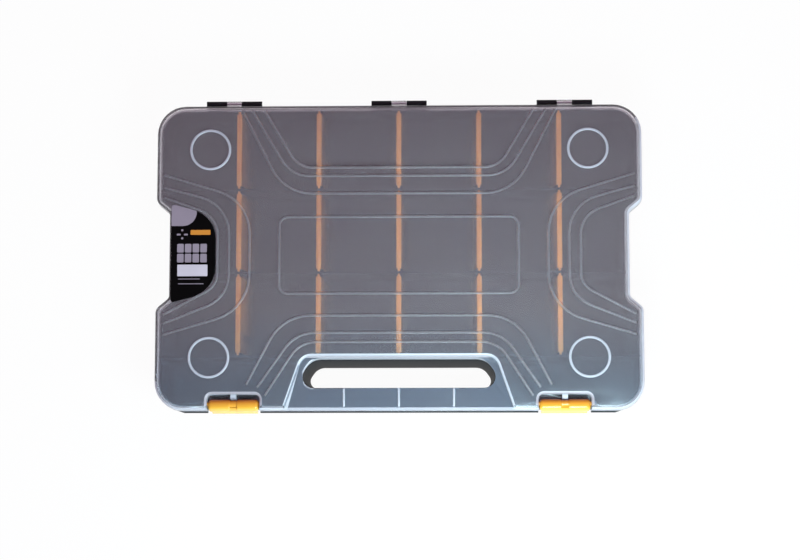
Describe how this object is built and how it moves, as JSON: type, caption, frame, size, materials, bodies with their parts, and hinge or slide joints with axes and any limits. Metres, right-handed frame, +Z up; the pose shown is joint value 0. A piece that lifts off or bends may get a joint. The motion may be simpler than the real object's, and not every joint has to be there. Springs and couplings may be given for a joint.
{
  "type": "compartment storage case",
  "caption": "Shallow storage case with a divided tray, a hinged frosted lid with raised ribs, front latches and a hand opening through its front edge.",
  "frame": {"origin": "middle of the footprint of the closed case, hinges and latches included, on the surface that it lies on", "axes": "+X to the right, +Y towards the hinges, -Y towards the handle and latches, +Z up through the lid"},
  "size_m": [0.384, 0.2486, 0.06],
  "materials": {
    "tray_black": "moulded polypropylene, fine grain",
    "lid_frosted": "translucent polypropylene, satin",
    "divider_orange": "moulded polypropylene, satin",
    "latch_amber": "moulded, polished",
    "pin_steel": "drawn wire",
    "label_print": "printed film"
  },
  "bodies": {
    "base": {"base_tray": "tray_black", "divider_rear_1": "divider_orange", "divider_rear_2": "divider_orange", "divider_rear_3": "divider_orange", "divider_rear_4": "divider_orange", "divider_rear_5": "divider_orange", "divider_middle_1": "divider_orange", "divider_middle_2": "divider_orange", "divider_middle_3": "divider_orange", "divider_middle_4": "divider_orange", "divider_middle_5": "divider_orange", "divider_front_1": "divider_orange", "divider_front_2": "divider_orange", "divider_front_3": "divider_orange", "divider_front_4": "divider_orange", "divider_front_5": "divider_orange", "hinge_pin_left": "pin_steel", "hinge_pin_centre": "pin_steel", "hinge_pin_right": "pin_steel"},
    "lid": {"lid": "lid_frosted", "lid_label": "label_print"},
    "latch_left": {"latch_left": "latch_amber"},
    "latch_right": {"latch_right": "latch_amber"}
  },
  "joints": [
    {"name": "lid_hinge", "type": "hinge", "parent": "base", "child": "lid", "pos_m": [0, 0.12205, 0.048], "axis": [-1, 0, 0], "range_deg": [0, 180]},
    {"name": "latch_left_pivot", "type": "hinge", "parent": "lid", "child": "latch_left", "pos_m": [-0.1295, -0.11775, 0.0538], "axis": [-1, 0, 0], "range_deg": [0, 100]},
    {"name": "latch_right_pivot", "type": "hinge", "parent": "lid", "child": "latch_right", "pos_m": [0.1295, -0.11775, 0.0538], "axis": [-1, 0, 0], "range_deg": [0, 100]}
  ]
}
